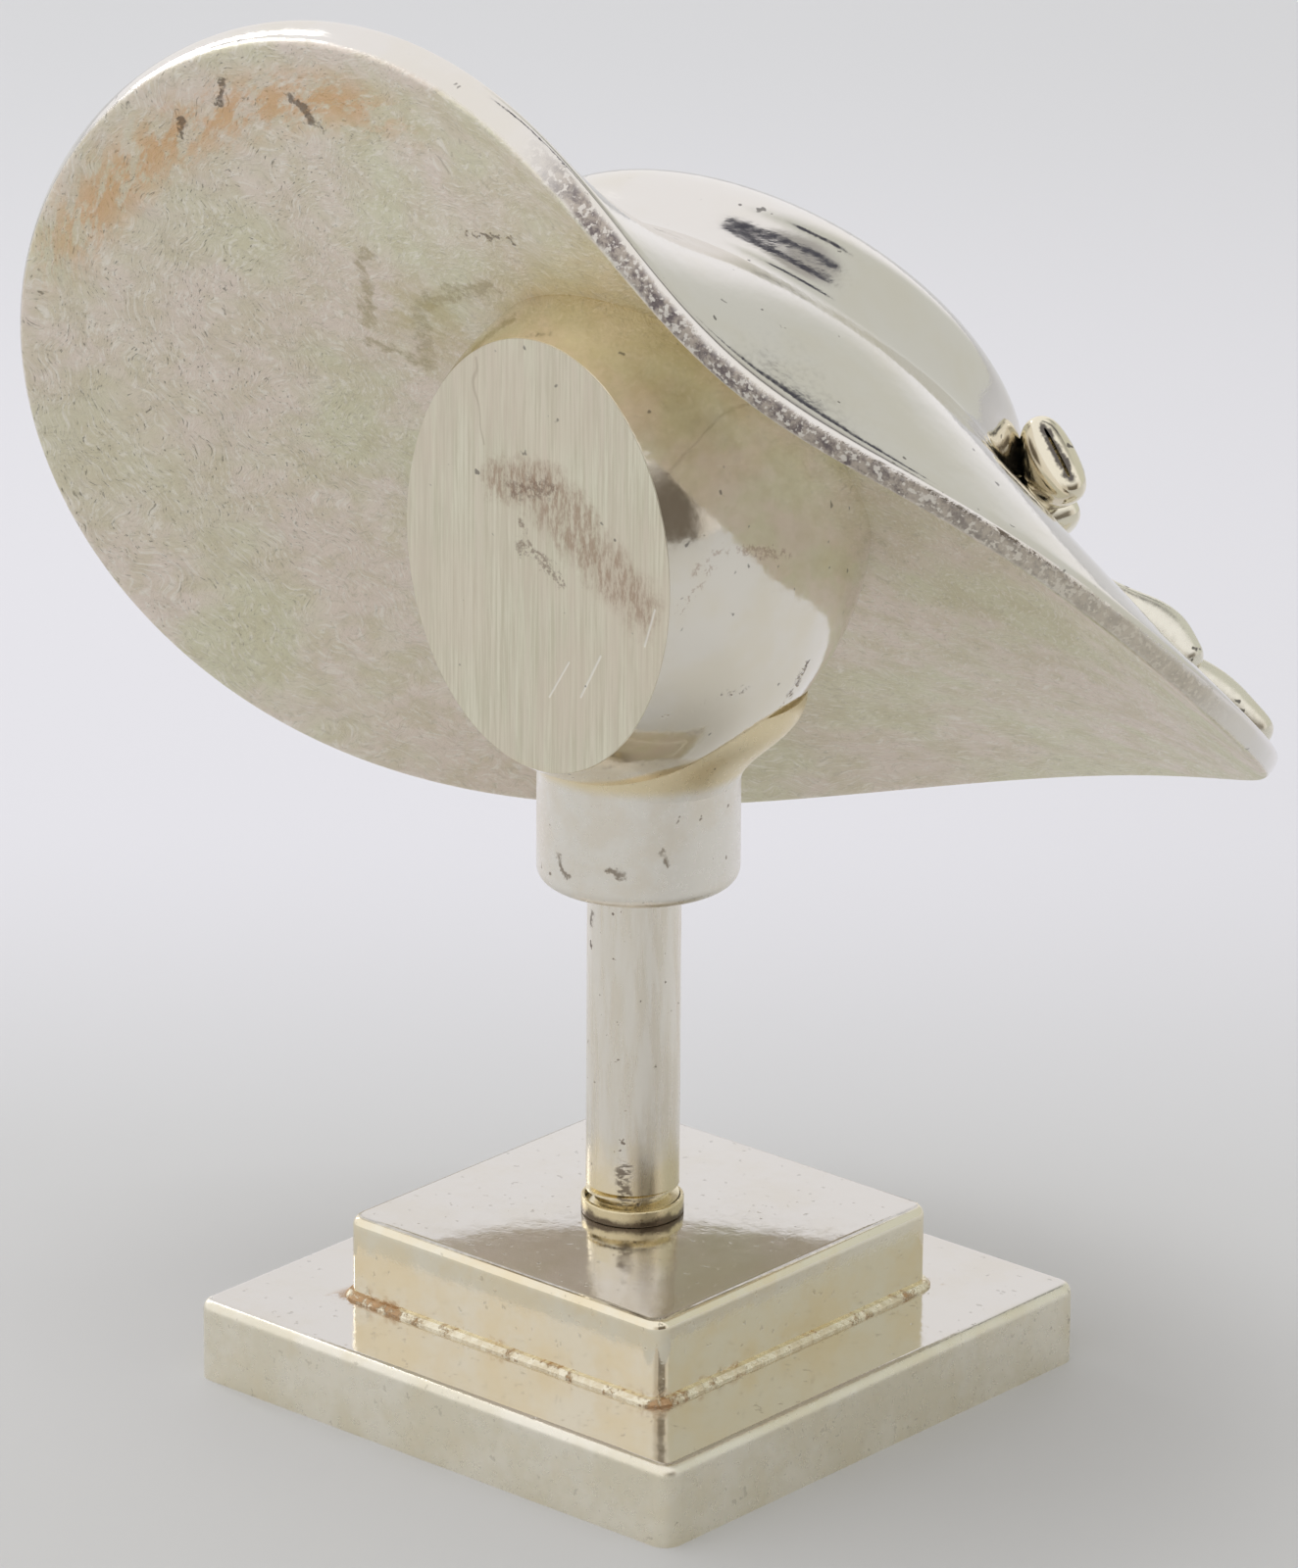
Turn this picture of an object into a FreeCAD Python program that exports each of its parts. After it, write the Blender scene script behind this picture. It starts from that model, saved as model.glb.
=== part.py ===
import FreeCAD, Part

# Hat-and-head ornament: an egg-shaped head with a flat oval face and a wide
# wavy-brimmed hat with a bow, on a screwed stem and a two-tier square base.
# Millimetres. +Z is up and the face looks along -Y. The origin is the centre
# of the base plate's underside. One STEP file per piece.

import math
import os

Vector = FreeCAD.Vector
UP = Vector(0, 0, 1)

# --- driving dimensions -----------------------------------------------------

# base: two square tiers, soft-soldered together
PLATE_SIDE = 40.2
PLATE_HEIGHT = 5.4
BLOCK_SIDE = 26.6
BLOCK_HEIGHT = 5.6
CORNER_RADIUS = 1.2
EDGE_RADIUS = 0.7
BEAD_WIDTH = 0.5
BEAD_HEIGHT = 0.4
BEAD_CHAMFER = 0.28

# stem: 6 mm rod, M6 x 1 at its foot, in a blind tapped hole
STEM_AXIS = Vector(-0.3, -0.3, 0)
STEM_RADIUS = 3.0
THREAD_PITCH = 1.0
THREAD_ROOT_RADIUS = 2.45
THREAD_CREST_FLAT = 0.16
THREAD_ROOT_WIDTH = 0.78
THREAD_IN_BASE = 8.0
THREAD_ABOVE_BASE = 2.1
THREAD_CLEARANCE = 0.07
HOLE_BOTTOM_GAP = 1.0
MOUTH_RADIUS = 3.2
MOUTH_DEPTH = 0.3
RING_RADIUS = 3.3
RING_BORE_RADIUS = 3.07
RING_HEIGHT = 1.1
RING_EDGE_RADIUS = 0.12

# neck: a turned socket on top of the stem, a little off the stem's axis
NECK_RADIUS = 6.45
NECK_BOTTOM_Z = 33.7
NECK_EDGE_RADIUS = 0.9
NECK_OFFSET = Vector(-0.15, -0.1, 0)
NECK_TOP_Z = 46.0
STEM_IN_NECK = 4.0
FLARE_FOOT_Z = 39.6
FLARE_TOP_Z = 44.6
FLARE_END_Z = 46.2
FLARE_TOP_RADIUS = 8.0
FLARE_LEAN = Vector(1.3, 1.8, 0)
SOLDER_RING_WIDTH = 0.7
SOLDER_RING_HEIGHT = 0.5

# head: an egg with its front sliced off flat
HEAD_CENTRE = Vector(-0.3, -0.25, 57.2)
HEAD_SEMI_AXES = (13.0, 17.0, 16.6)
FACE_PLANE_Y = -9.6

# hat: its own frame is tilted back and to the wearer's right
HAT_CENTRE = Vector(0.3, 3.3, 59.0)
HAT_TILT_BACK = math.radians(49.8)
HAT_TILT_SIDE = math.radians(7.3)
HAT_POLES_ROUND = 48
CROWN_SEMI_FRONT = 18.6
CROWN_SEMI_SIDE = 17.4
CROWN_SHIFT = (-1.2, 0.4)
CROWN_PROFILE = [(0.0, 16.3), (0.3, 16.3), (0.62, 15.45), (0.87, 13.6), (1.0, 11.2), (1.03, 8.8), (1.05, 6.9)]
UNDERSIDE_PROFILE = [(0.84, 2.4), (0.5, 2.4), (0.0, 2.4)]
BRIM_ROOT_OUTSET = 2.0
BRIM_ROOT_HEIGHT = 4.5
BRIM_DROOP_POWER = 1.15
BRIM_STEPS = [0.04, 0.25, 0.5, 0.75, 0.93, 0.99]
BRIM_THICKNESS = 1.9
FRONT_THICKENING = 0.8
FRONT_THICK_ANGLE = math.radians(-5)
ROOT_THICKENING = 1.2
RIM_BULGE = 0.3
RIM_FLAT = 0.8

# the brim's edge round the hat, as waves: order, cosine part, sine part
EDGE_RADIUS_WAVES = [(0, 38.35, 0.0), (1, -5.6, -7.9), (2, -0.6, -3.6)]
EDGE_HEIGHT_WAVES = [(2, 7.0, -2.8), (3, -1.1, -1.2), (4, 0.8, -0.3)]

# bow: on the crown's foot at the wearer's left, towards the back
BOW_ANGLE = 134.0
BOW_RADIUS = 20.4
BOW_HEIGHT = 9.6
RIBBON_THICKNESS = 0.9
KNOT_SIZE = (1.7, 2.0, 2.8)
LOOP_LENGTH = 6.0
LOOP_WIDTH = 6.5
LOOP_DEPTH = 3.3
# (share of the length, share of the width, share of the depth) from the knot to the tip
LOOP_STATIONS = [(0.0, 0.45, 0.45), (0.25, 0.62, 0.75), (0.5, 0.82, 0.95), (0.75, 0.98, 1.0),
                 (0.93, 0.95, 0.88), (1.0, 0.70, 0.50)]
SLIT_WIDTH = 0.22
SLIT_LENGTH = 3.6
SLIT_REACH = 1.2
TAIL_WIDTH = 6.0
TAIL_LIFT = 0.35
TAIL_ROOT = 0.55
# name, brim step at its start and end, height of its hump, degrees round the hat at its start and end
TAILS = [("bow_tail_short", 0.12, 0.66, 1.4, 130, 133), ("bow_tail_long", 0.12, 0.94, 1.3, 143, 145)]


# --- shared shape helpers ---------------------------------------------------

def closed_solid(rings):
    """Solid inside a smooth surface through rings of poles; end rings are points."""
    count_round, count_along = len(rings[0]), len(rings)
    poles = [[ring[i] for ring in rings] for i in range(count_round)]
    knots_round = [float(i) for i in range(count_round + 1)]
    knots_along = [float(i) for i in range(count_along - 2)]
    inner = [1] * (len(knots_along) - 2)
    surface = Part.BSplineSurface()
    surface.buildFromPolesMultsKnots(
        poles, [1] * len(knots_round), [4] + inner + [4],
        knots_round, knots_along, True, False, 3, 3)
    solid = Part.Solid(Part.Shell([surface.toShape()]))
    if solid.Volume < 0:
        solid.reverse()
    return solid


def rounded_slab(side, z_low, height):
    """Square slab with rounded upright corners and a softened top edge."""
    slab = Part.makeBox(side, side, height, Vector(-side / 2, -side / 2, z_low))
    upright = [e for e in slab.Edges if abs(e.Vertexes[0].Z - e.Vertexes[1].Z) > height / 2]
    slab = slab.makeFillet(CORNER_RADIUS, upright)
    z_top = z_low + height
    rim = [e for e in slab.Edges if all(abs(v.Z - z_top) < 1e-6 for v in e.Vertexes)]
    return slab.makeFillet(EDGE_RADIUS, rim)


def ring_of_revolution(profile, centre):
    """Ring made by turning a closed (radius, z) outline round the upright axis at `centre`."""
    points = [centre + Vector(r, 0, z) for r, z in profile]
    face = Part.Face(Part.makePolygon(points + points[:1]))
    return face.revolve(centre, UP, 360)


# --- base -------------------------------------------------------------------

BLOCK_TOP_Z = PLATE_HEIGHT + BLOCK_HEIGHT


def thread_ridge(growth, z_low, z_high):
    """Helical ridge of the stem's thread, grown all round by `growth`."""
    half_root = THREAD_ROOT_WIDTH / 2 + growth
    half_crest = THREAD_CREST_FLAT / 2 + growth
    inner = THREAD_ROOT_RADIUS - 0.15
    crest = STEM_RADIUS + growth
    outline = [(inner, -half_root), (crest, -half_crest), (crest, half_crest), (inner, half_root)]
    points = [Vector(r, 0, z_low + z) for r, z in outline]
    helix = Part.makeHelix(THREAD_PITCH, z_high - z_low, STEM_RADIUS)
    helix.translate(Vector(0, 0, z_low))
    return Part.Wire(helix.Edges).makePipeShell([Part.makePolygon(points + points[:1])], True, True)


def tapped_hole():
    foot_z = BLOCK_TOP_Z - THREAD_IN_BASE - HOLE_BOTTOM_GAP
    minor = THREAD_ROOT_RADIUS + THREAD_CLEARANCE
    drill = Part.makeCylinder(minor, BLOCK_TOP_Z - foot_z + 2, Vector(0, 0, foot_z))
    groove = thread_ridge(THREAD_CLEARANCE, foot_z + THREAD_PITCH, BLOCK_TOP_Z + THREAD_PITCH)
    return drill.fuse(groove).translated(STEM_AXIS)


def make_base():
    plate = rounded_slab(PLATE_SIDE, 0, PLATE_HEIGHT)
    block = rounded_slab(BLOCK_SIDE, PLATE_HEIGHT, BLOCK_HEIGHT)
    hole = tapped_hole()
    mouth = Part.makeCone(MOUTH_RADIUS - MOUTH_DEPTH, MOUTH_RADIUS, MOUTH_DEPTH,
                          STEM_AXIS + Vector(0, 0, BLOCK_TOP_Z - MOUTH_DEPTH))
    side = BLOCK_SIDE + 2 * BEAD_WIDTH
    bead = Part.makeBox(side, side, BEAD_HEIGHT, Vector(-side / 2, -side / 2, PLATE_HEIGHT))
    upright = [e for e in bead.Edges if abs(e.Vertexes[0].Z - e.Vertexes[1].Z) > BEAD_HEIGHT / 2]
    bead = bead.makeFillet(CORNER_RADIUS + BEAD_WIDTH, upright)
    rim = [e for e in bead.Edges if all(abs(v.Z - PLATE_HEIGHT - BEAD_HEIGHT) < 1e-6 for v in e.Vertexes)]
    bead = bead.makeChamfer(BEAD_CHAMFER, rim).cut(block)
    return {"base_plate": plate.cut(hole), "base_block": block.cut(hole).cut(mouth), "base_solder_bead": bead}


# --- stem and neck ----------------------------------------------------------

def make_stem():
    foot_z = BLOCK_TOP_Z - THREAD_IN_BASE
    shoulder_z = BLOCK_TOP_Z + THREAD_ABOVE_BASE
    top_z = NECK_BOTTOM_Z + STEM_IN_NECK
    core = Part.makeCylinder(THREAD_ROOT_RADIUS, shoulder_z - foot_z + 1, Vector(0, 0, foot_z))
    rod = Part.makeCylinder(STEM_RADIUS, top_z - shoulder_z, Vector(0, 0, shoulder_z))
    ridge = thread_ridge(0.0, foot_z + THREAD_PITCH, shoulder_z)
    return rod.fuse([core, ridge]).removeSplitter().translated(STEM_AXIS)


def make_foot_ring():
    foot = STEM_AXIS + Vector(0, 0, BLOCK_TOP_Z)
    outer = Part.makeCylinder(RING_RADIUS, RING_HEIGHT, foot)
    rims = [e for e in outer.Edges if isinstance(e.Curve, Part.Circle)]
    outer = outer.makeFillet(RING_EDGE_RADIUS, rims)
    return outer.cut(Part.makeCylinder(RING_BORE_RADIUS, RING_HEIGHT, foot))


def make_solder_ring():
    r, z = STEM_RADIUS, NECK_BOTTOM_Z
    outline = [(r, z), (r + SOLDER_RING_WIDTH, z), (r, z - SOLDER_RING_HEIGHT)]
    return ring_of_revolution(outline, STEM_AXIS)


def make_neck(head):
    foot = NECK_OFFSET + Vector(0, 0, NECK_BOTTOM_Z)
    barrel = Part.makeCylinder(NECK_RADIUS, NECK_TOP_Z - NECK_BOTTOM_Z, foot)
    bottom = [e for e in barrel.Edges if e.Closed and abs(e.BoundBox.ZMax - NECK_BOTTOM_Z) < 1e-6]
    barrel = barrel.makeFillet(NECK_EDGE_RADIUS, bottom)
    rounds = []
    for share, z in ((0.0, FLARE_FOOT_Z), (0.35, 42.4), (1.0, FLARE_TOP_Z), (1.12, FLARE_END_Z)):
        radius = NECK_RADIUS - 0.05 + share * (FLARE_TOP_RADIUS - NECK_RADIUS)
        centre = NECK_OFFSET + FLARE_LEAN * share + Vector(0, 0, z)
        rounds.append(Part.Wire(Part.Circle(centre, UP, radius).toShape()))
    flare = Part.makeLoft(rounds, True, False)
    socket = Part.makeCylinder(STEM_RADIUS, STEM_IN_NECK, STEM_AXIS + Vector(0, 0, NECK_BOTTOM_Z))
    return barrel.fuse(flare).cut([head, socket])


# --- head -------------------------------------------------------------------

def make_head():
    stretch = FreeCAD.Matrix()
    stretch.scale(*HEAD_SEMI_AXES)
    egg = Part.makeSphere(1.0).transformGeometry(stretch)
    egg.translate(HEAD_CENTRE)
    reach = 2 * max(HEAD_SEMI_AXES)
    corner = Vector(-reach, FACE_PLANE_Y - reach, HEAD_CENTRE.z - reach)
    return egg.cut(Part.makeBox(2 * reach, reach, 2 * reach, corner))


# --- hat --------------------------------------------------------------------

HAT_UP = Vector(-math.sin(HAT_TILT_SIDE),
                math.sin(HAT_TILT_BACK) * math.cos(HAT_TILT_SIDE),
                math.cos(HAT_TILT_BACK) * math.cos(HAT_TILT_SIDE))
HAT_FRONT = Vector(0, -1, 0) + HAT_UP * HAT_UP.y
HAT_FRONT.normalize()
HAT_LEFT = HAT_UP.cross(HAT_FRONT)


def in_hat(front, left, up):
    """World position of a point given in the hat's own frame."""
    return HAT_CENTRE + HAT_FRONT * front + HAT_LEFT * left + HAT_UP * up


def around_hat(angle, radius, up):
    return in_hat(radius * math.cos(angle), radius * math.sin(angle), up)


def wave_sum(waves, angle):
    return sum(c * math.cos(k * angle) + s * math.sin(k * angle) for k, c, s in waves)


def crown_radius(angle):
    """Distance from the hat's axis to the crown's widest line."""
    front = CROWN_SHIFT[0] + CROWN_SEMI_FRONT * math.cos(angle)
    left = CROWN_SHIFT[1] + CROWN_SEMI_SIDE * math.sin(angle)
    return math.hypot(front, left)


def brim_middle(angle, step):
    """(radius, height) of the brim's middle surface; step 0 at the root, 1 at the edge."""
    root = crown_radius(angle) + BRIM_ROOT_OUTSET
    edge = wave_sum(EDGE_RADIUS_WAVES, angle)
    drop = wave_sum(EDGE_HEIGHT_WAVES, angle) - BRIM_ROOT_HEIGHT
    return root + (edge - root) * step, BRIM_ROOT_HEIGHT + drop * step ** BRIM_DROOP_POWER


def brim_point(angle, step, side, offset=0.0):
    """Point on the brim's top (side 1), underside (side -1) or middle (side 0)."""
    radius, height = brim_middle(angle, step)
    next_radius, next_height = brim_middle(angle, step + 0.01)
    run, rise = next_radius - radius, next_height - height
    length = math.hypot(run, rise)
    thickness = BRIM_THICKNESS / 2
    if side < 0:
        thickness += ROOT_THICKENING * (1 - min(step, 1)) ** 2
    else:
        thickness += FRONT_THICKENING * max(0, math.cos(angle - FRONT_THICK_ANGLE)) ** 4
    shift = side * thickness + offset
    return around_hat(angle, radius - shift * rise / length, height + shift * run / length)


def crown_ring(share, height, angles):
    return [in_hat(CROWN_SHIFT[0] + share * CROWN_SEMI_FRONT * math.cos(a),
                   CROWN_SHIFT[1] + share * CROWN_SEMI_SIDE * math.sin(a), height) for a in angles]


def rim_step(angle):
    """Brim step that lies RIM_BULGE beyond the nominal edge."""
    root = crown_radius(angle) + BRIM_ROOT_OUTSET
    return 1 + RIM_BULGE / (wave_sum(EDGE_RADIUS_WAVES, angle) - root)


def make_hat_solid():
    angles = [2 * math.pi * i / HAT_POLES_ROUND for i in range(HAT_POLES_ROUND)]
    rings = [crown_ring(share, height, angles) for share, height in CROWN_PROFILE]
    rings += [[brim_point(a, step, 1) for a in angles] for step in BRIM_STEPS]
    rings += [[brim_point(a, rim_step(a), RIM_FLAT * side) for a in angles] for side in (1, -1)]
    rings += [[brim_point(a, step, -1) for a in angles] for step in reversed(BRIM_STEPS)]
    rings += [crown_ring(share, height, angles) for share, height in UNDERSIDE_PROFILE]
    return closed_solid(rings)


# --- bow --------------------------------------------------------------------

def ribbon(path, widths, thicknesses, across, squareness=0.5, poles_round=12):
    """Band along `path`, `widths` wide in the direction `across`; squareness 1 gives an oval section."""
    rings = []
    last = len(path) - 1
    for i, (centre, width, thickness) in enumerate(zip(path, widths, thicknesses)):
        ahead = path[min(i + 1, last)] - path[max(i - 1, 0)]
        wide = across - ahead * (across.dot(ahead) / ahead.dot(ahead))
        wide.normalize()
        thick = ahead.cross(wide).normalize()
        ring = []
        for k in range(poles_round):
            angle = 2 * math.pi * k / poles_round
            c, s = math.cos(angle), math.sin(angle)
            x = math.copysign(abs(c) ** squareness, c) * width / 2
            y = math.copysign(abs(s) ** squareness, s) * thickness / 2
            ring.append(centre + wide * x + thick * y)
        rings.append(ring)
    first, final = [path[0]] * poles_round, [path[last]] * poles_round
    return closed_solid([first] + rings + [final])


def make_bow(hat):
    angle = math.radians(BOW_ANGLE)
    out = HAT_FRONT * math.cos(angle) + HAT_LEFT * math.sin(angle)
    along = HAT_LEFT * math.cos(angle) - HAT_FRONT * math.sin(angle)
    lie = (out * 0.76 - HAT_UP * 0.65).normalize()
    puff = (out * 0.65 + HAT_UP * 0.76).normalize()
    centre = around_hat(angle, BOW_RADIUS, BOW_HEIGHT)

    # puffed loops, each split open along its end
    pieces = {}
    for name, sense in (("bow_loop_front", -1), ("bow_loop_back", 1)):
        path = [centre + along * (sense * (1.0 + share * LOOP_LENGTH)) for share, width, puffed in LOOP_STATIONS]
        widths = [LOOP_WIDTH * width for share, width, puffed in LOOP_STATIONS]
        depths = [LOOP_DEPTH * puffed for share, width, puffed in LOOP_STATIONS]
        loop = ribbon(path, widths, depths, lie, 0.75)
        fold = centre + along * (sense * (1.0 + LOOP_LENGTH))
        slit_path = [fold + lie * (SLIT_LENGTH / 2 * t) for t in (-1, -0.5, 0, 0.5, 1)]
        pieces[name] = loop.cut(ribbon(slit_path, [2 * SLIT_REACH] * 5, [SLIT_WIDTH] * 5, along))

    half_along, half_puff, half_lie = KNOT_SIZE
    knot_path = [centre + lie * (half_lie * t) for t in (-1, -0.5, 0, 0.5, 1)]
    knot_widths = [2 * half_along * w for w in (0.8, 1.0, 1.05, 1.0, 0.8)]
    pieces["bow_knot"] = ribbon(knot_path, knot_widths, [2 * half_puff] * 5, along)

    # tails are rooted in the brim and hump up on the way out
    for name, start, end, rise, angle_start, angle_end in TAILS:
        path, depths = [], []
        stations = 9
        for i in range(stations):
            t = i / (stations - 1)
            step = start + (end - start) * t
            hump = TAIL_LIFT + rise * math.sin(math.pi * t ** 2) ** 2
            path.append(brim_point(math.radians(angle_start + (angle_end - angle_start) * t), step, 1,
                                   (hump - TAIL_ROOT) / 2))
            depths.append(RIBBON_THICKNESS + hump + TAIL_ROOT)
        widths = [TAIL_WIDTH * (0.65 + 0.35 * math.sin(math.pi / 2 * min(1, 1.5 * i / (stations - 1))))
                  for i in range(stations)]
        pieces[name] = ribbon(path, widths, depths, along)

    # each piece is fitted to the hat and to the pieces laid down before it
    fitted = {}
    for name in ("bow_knot", "bow_loop_front", "bow_loop_back", "bow_tail_long", "bow_tail_short"):
        trimmed = pieces[name].cut([hat] + list(fitted.values()))
        fitted[name] = max(trimmed.Solids, key=lambda solid: solid.Volume)
    return fitted


def main():
    os.makedirs("parts", exist_ok=True)
    head = make_head()
    hat = make_hat_solid().cut(head)
    pieces = make_base()
    pieces["stem"] = make_stem()
    pieces["foot_ring"] = make_foot_ring()
    pieces["stem_solder_ring"] = make_solder_ring()
    pieces["neck"] = make_neck(head)
    pieces["head"] = head
    pieces["hat"] = hat
    pieces.update(make_bow(hat))
    for name, shape in pieces.items():
        box = shape.optimalBoundingBox()
        print("%-18s solids %d valid %s volume %8.1f  x %6.2f %6.2f  y %6.2f %6.2f  z %6.2f %6.2f" % (
            name, len(shape.Solids), shape.isValid(), shape.Volume,
            box.XMin, box.XMax, box.YMin, box.YMax, box.ZMin, box.ZMax))
        shape.exportStep("parts/%s.step" % name)


main()
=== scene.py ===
import math

import bpy
import numpy as np
from mathutils import Matrix, Vector


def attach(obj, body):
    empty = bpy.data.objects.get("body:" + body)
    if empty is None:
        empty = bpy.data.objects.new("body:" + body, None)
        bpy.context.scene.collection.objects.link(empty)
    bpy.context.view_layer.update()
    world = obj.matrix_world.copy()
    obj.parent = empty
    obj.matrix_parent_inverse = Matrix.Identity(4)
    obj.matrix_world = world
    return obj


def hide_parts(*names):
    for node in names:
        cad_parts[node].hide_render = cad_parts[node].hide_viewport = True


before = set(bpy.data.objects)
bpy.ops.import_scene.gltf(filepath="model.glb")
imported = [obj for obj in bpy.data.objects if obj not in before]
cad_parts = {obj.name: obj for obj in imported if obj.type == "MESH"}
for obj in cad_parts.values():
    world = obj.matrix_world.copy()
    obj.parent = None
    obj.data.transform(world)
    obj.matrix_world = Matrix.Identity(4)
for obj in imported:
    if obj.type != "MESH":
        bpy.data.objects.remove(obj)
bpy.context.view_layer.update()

MM = 0.001


# --- camera -----------------------------------------------------------------

CAMERA_PLACE = (344.63, -392.69, 227.58)    # millimetres
CAMERA_AZIMUTH = 0.719429                   # radians, from +Y towards -X
CAMERA_PITCH = 0.344835                     # radians, looking down
CAMERA_ROLL = 0.006587
LENS = 202.5
SENSOR_WIDTH = 36


def camera_axes():
    """Right, up and forward of the camera, in the CAD frame."""
    az, pitch, roll = CAMERA_AZIMUTH, CAMERA_PITCH, CAMERA_ROLL
    forward = Vector((-math.sin(az) * math.cos(pitch), math.cos(az) * math.cos(pitch), -math.sin(pitch)))
    right = Vector((math.cos(az), math.sin(az), 0))
    up = right.cross(forward)
    return (right * math.cos(roll) + up * math.sin(roll),
            up * math.cos(roll) - right * math.sin(roll), forward)


def add_camera():
    right, up, forward = camera_axes()
    data = bpy.data.cameras.new("camera")
    data.lens = LENS
    data.sensor_width = SENSOR_WIDTH
    data.clip_start = 0.01
    data.clip_end = 20
    camera = bpy.data.objects.new("camera", data)
    columns = Matrix((right, up, -forward)).transposed().to_4x4()
    camera.matrix_world = Matrix.Translation(Vector(CAMERA_PLACE) * MM) @ columns
    bpy.context.scene.collection.objects.link(camera)
    bpy.context.scene.camera = camera


# --- small helpers ----------------------------------------------------------

def link(obj):
    bpy.context.scene.collection.objects.link(obj)
    return obj


def mesh_object(name, points, faces, smooth=True):
    mesh = bpy.data.meshes.new(name)
    mesh.from_pydata([tuple(p) for p in points], [], faces)
    mesh.validate()
    if smooth:
        mesh.polygons.foreach_set("use_smooth", [True] * len(mesh.polygons))
    return link(bpy.data.objects.new(name, mesh))


def float_attribute(obj, name, values):
    attribute = obj.data.attributes.new(name, "FLOAT", "POINT")
    attribute.data.foreach_set("value", np.asarray(values, dtype=np.float32))


# --- hat surface ------------------------------------------------------------

TILT_BACK = math.radians(49.8)
TILT_SIDE = math.radians(7.3)
HAT_CENTRE = np.array((0.3, 3.3, 59.0))
HAT_UP = np.array((-math.sin(TILT_SIDE), math.sin(TILT_BACK) * math.cos(TILT_SIDE),
                   math.cos(TILT_BACK) * math.cos(TILT_SIDE)))
HAT_FRONT = np.array((0.0, -1.0, 0.0)) + HAT_UP * HAT_UP[1]
HAT_FRONT /= np.linalg.norm(HAT_FRONT)
HAT_LEFT = np.cross(HAT_UP, HAT_FRONT)
CROWN_SEMI = (18.6, 17.4)
CROWN_SHIFT = (-1.2, 0.4)
CROWN_PROFILE = [(0.0, 16.3), (0.3, 16.3), (0.62, 15.45), (0.87, 13.6), (1.0, 11.2), (1.03, 8.8), (1.05, 6.9)]
UNDERSIDE_PROFILE = [(0.84, 2.4), (0.5, 2.4), (0.0, 2.4)]
BRIM_ROOT = (2.0, 4.5)
BRIM_DROOP = 1.15
BRIM_STEPS = [0.04, 0.25, 0.5, 0.75, 0.93, 0.99]
BRIM_THICKNESS = 1.9
FRONT_THICKENING = (0.8, math.radians(-5))
ROOT_THICKENING = 1.2
RIM_BULGE = 0.3
RIM_FLAT = 0.8
EDGE_RADIUS_WAVES = [(0, 38.35, 0.0), (1, -5.6, -7.9), (2, -0.6, -3.6)]
EDGE_HEIGHT_WAVES = [(2, 7.0, -2.8), (3, -1.1, -1.2), (4, 0.8, -0.3)]
STEP_AHEAD = 0.01        # for the slope of the brim's middle
POLES_ROUND = 48
MESH_ROUND = 480
MESH_ROWS = 300
SEAM_ANGLE = 60          # where the angle round the hat jumps back by a turn, out of sight from the front


def wave_sum(waves, angle):
    return sum(c * np.cos(k * angle) + s * np.sin(k * angle) for k, c, s in waves)


def crown_radius(angle):
    return np.hypot(CROWN_SHIFT[0] + CROWN_SEMI[0] * np.cos(angle),
                    CROWN_SHIFT[1] + CROWN_SEMI[1] * np.sin(angle))


def brim_middle(angle, step):
    root = crown_radius(angle) + BRIM_ROOT[0]
    drop = wave_sum(EDGE_HEIGHT_WAVES, angle) - BRIM_ROOT[1]
    return root + (wave_sum(EDGE_RADIUS_WAVES, angle) - root) * step, BRIM_ROOT[1] + drop * step ** BRIM_DROOP


def in_hat(front, left, up):
    """Points of the hat's own frame in the CAD frame, in millimetres."""
    return (HAT_CENTRE + np.multiply.outer(front, HAT_FRONT) + np.multiply.outer(left, HAT_LEFT)
            + np.multiply.outer(up, HAT_UP))


def brim_row(angle, step, side):
    """Poles round the brim at one step from its root, on the top (1) or the underside (-1)."""
    radius, height = brim_middle(angle, step)
    next_radius, next_height = brim_middle(angle, step + STEP_AHEAD)
    run, rise = next_radius - radius, next_height - height
    length = np.hypot(run, rise)
    half = BRIM_THICKNESS / 2
    if side < 0:
        half = half + ROOT_THICKENING * (1 - np.minimum(step, 1)) ** 2
    else:
        half = half + FRONT_THICKENING[0] * np.maximum(0, np.cos(angle - FRONT_THICKENING[1])) ** 4
    radius, height = radius - side * half * rise / length, height + side * half * run / length
    return in_hat(radius * np.cos(angle), radius * np.sin(angle), height)


def crown_row(angle, share, height):
    return in_hat(CROWN_SHIFT[0] + share * CROWN_SEMI[0] * np.cos(angle),
                  CROWN_SHIFT[1] + share * CROWN_SEMI[1] * np.sin(angle), height + 0 * angle)


def hat_poles():
    angle = np.linspace(0, 2 * math.pi, POLES_ROUND, endpoint=False)
    reach = wave_sum(EDGE_RADIUS_WAVES, angle) - crown_radius(angle) - BRIM_ROOT[0]
    tip = 1 + RIM_BULGE / reach
    rows = [crown_row(angle, share, height) for share, height in CROWN_PROFILE]
    rows += [brim_row(angle, step, 1) for step in BRIM_STEPS]
    rows += [brim_row(angle, tip, RIM_FLAT * side) for side in (1, -1)]
    rows += [brim_row(angle, step, -1) for step in reversed(BRIM_STEPS)]
    rows += [crown_row(angle, share, height) for share, height in UNDERSIDE_PROFILE]
    return np.array(rows)


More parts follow.
